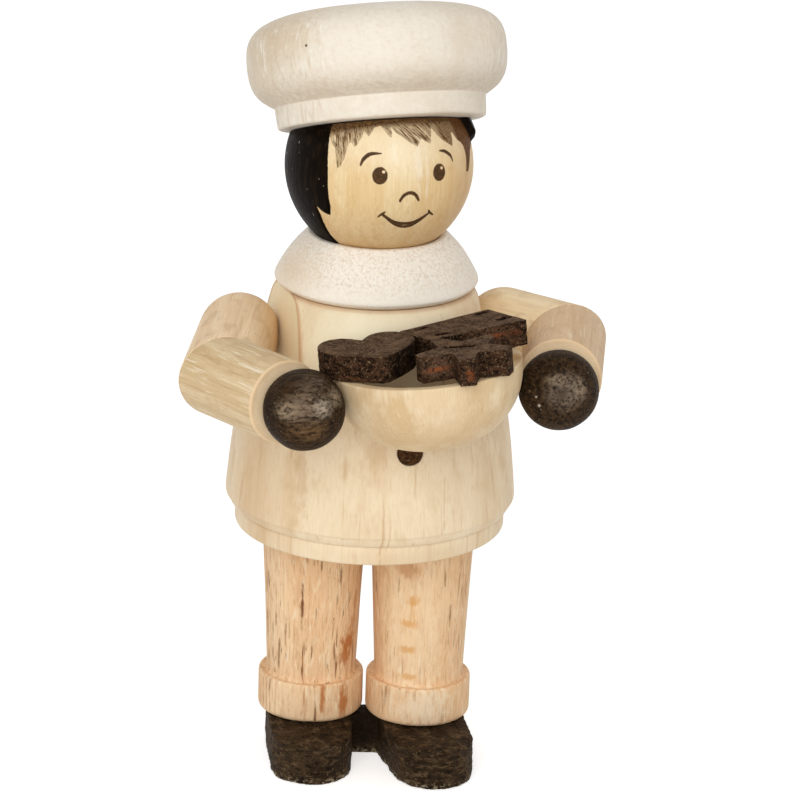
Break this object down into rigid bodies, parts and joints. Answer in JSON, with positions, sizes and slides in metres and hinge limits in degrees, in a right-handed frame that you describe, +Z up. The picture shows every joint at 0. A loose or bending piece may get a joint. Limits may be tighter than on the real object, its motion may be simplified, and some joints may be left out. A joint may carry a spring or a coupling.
{
  "type": "baker figurine",
  "caption": "Turned wooden baker figurine in a tilted white hat, holding a bowl of gingerbread against a pale coat",
  "frame": {"origin": "middle of the figure's bounding box, on the plane of its soles", "axes": "+Z up through the coat to the hat, -Y the way the coat's front and the bowl face, +X the figure's left"},
  "size_m": [0.0424, 0.0414, 0.0775],
  "materials": {
    "pale_wood": "clear matt varnish over turned lime wood",
    "head_wood": "clear satin varnish, with burnt lines and painted hair on the ball",
    "beech": "plain turned beech",
    "arm_wood": "plain sanded dowel",
    "white_glaze": "thin white glaze, brushed",
    "dark_stain": "dark brown stain, slightly worn",
    "shoe_stain": "dark brown stain, chipped at the edges",
    "gingerbread": "dark stained board with charred sides"
  },
  "bodies": {
    "root": {"bowl": "pale_wood", "button": "dark_stain", "coat_body": "pale_wood", "collar": "white_glaze", "gingerbread_bar": "gingerbread", "gingerbread_heart": "gingerbread", "gingerbread_star": "gingerbread", "hat": "white_glaze", "head": "head_wood", "left_forearm": "arm_wood", "left_hand": "dark_stain", "left_leg": "beech", "left_upper_arm": "arm_wood", "neck_dowel": "beech", "right_forearm": "arm_wood", "right_hand": "dark_stain", "right_leg": "beech", "right_upper_arm": "arm_wood", "shoes": "shoe_stain"}
  },
  "joints": []
}
